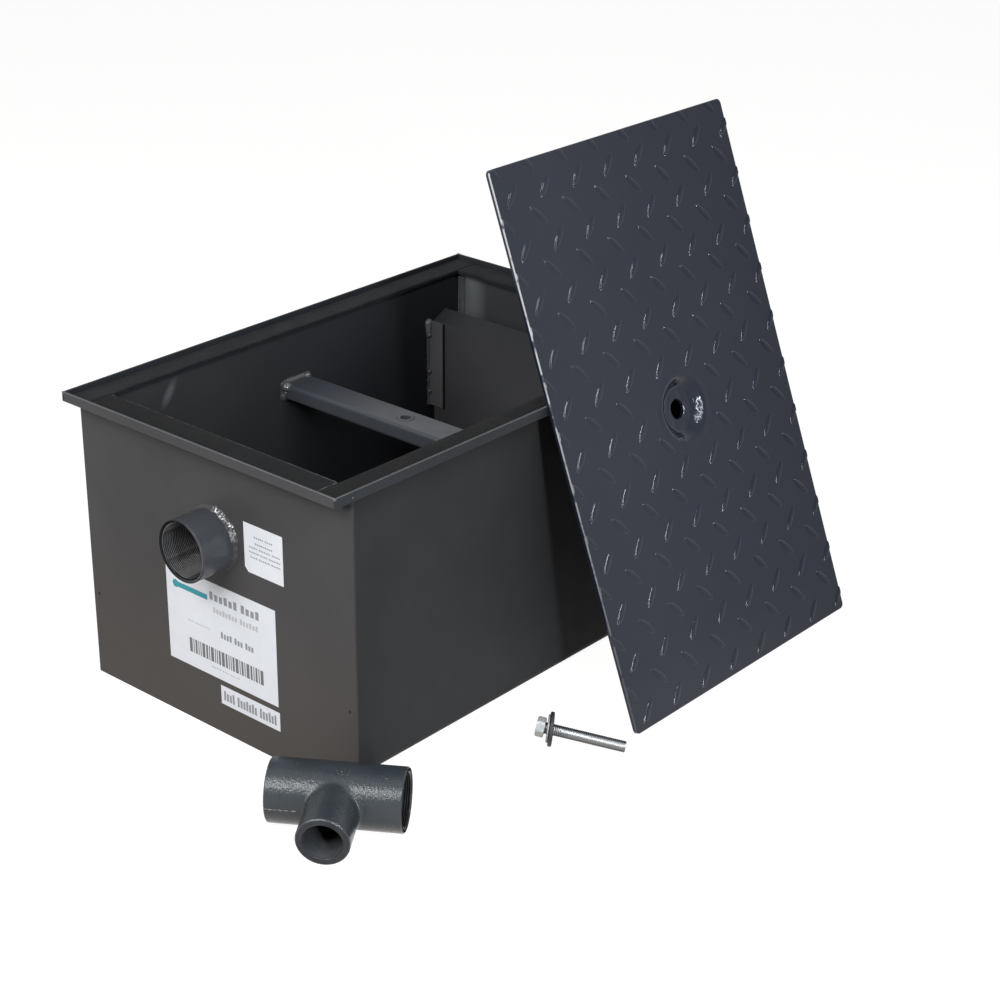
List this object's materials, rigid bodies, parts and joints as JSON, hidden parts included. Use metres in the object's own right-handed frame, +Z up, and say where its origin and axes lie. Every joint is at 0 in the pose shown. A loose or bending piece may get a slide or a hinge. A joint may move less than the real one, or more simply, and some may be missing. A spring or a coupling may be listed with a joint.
{
  "type": "grease trap",
  "caption": "Open steel grease trap tank with a threaded port at each end, a lift-out inlet baffle, and its tread plate cover, cover bolt and cast flow control tee beside it.",
  "frame": {"origin": "centre of the tank's underside, on the floor", "axes": "+X across the tank towards the leaning cover, +Y along it from the outlet end to the inlet end, +Z up"},
  "size_m": [0.5531, 0.8135, 0.5822],
  "materials": {
    "tank_paint": "dark grey baked paint, satin, with a fine orange peel",
    "cast_paint": "grey painted casting, slightly rough",
    "cover_paint": "dark blue grey paint on rolled tread plate, satin",
    "gasket_foam": "grainy black foam strip",
    "zinc_plate": "bright zinc plated steel",
    "washer_rubber": "smooth black rubber"
  },
  "bodies": {
    "tank": {"tank_trough": "tank_paint", "outlet_end_plate": "tank_paint", "inlet_end_plate": "tank_paint", "rim_left": "tank_paint", "rim_right": "tank_paint", "rim_outlet": "tank_paint", "rim_inlet": "tank_paint", "gasket_left": "gasket_foam", "gasket_right": "gasket_foam", "gasket_outlet": "gasket_foam", "gasket_inlet": "gasket_foam", "outlet_coupling": "cast_paint", "inlet_coupling": "cast_paint", "outlet_weld": "tank_paint", "inlet_weld": "tank_paint", "crossbar": "tank_paint", "crossbar_bush": "tank_paint", "baffle_guide_left_front": "tank_paint", "baffle_guide_left_back": "tank_paint", "baffle_guide_right_front": "tank_paint", "baffle_guide_right_back": "tank_paint", "outlet_baffle": "tank_paint", "cover_plate": "cover_paint", "cover_bolt": "zinc_plate", "bolt_washer": "zinc_plate", "bolt_rubber_washer": "washer_rubber", "flow_tee": "cast_paint", "flow_orifice": "zinc_plate"},
    "baffle": {"inlet_baffle": "tank_paint"}
  },
  "joints": [
    {"name": "inlet_baffle_slide", "type": "slide", "parent": "tank", "child": "baffle", "axis": [0, 0, 1], "range_m": [0, 0.13]}
  ]
}
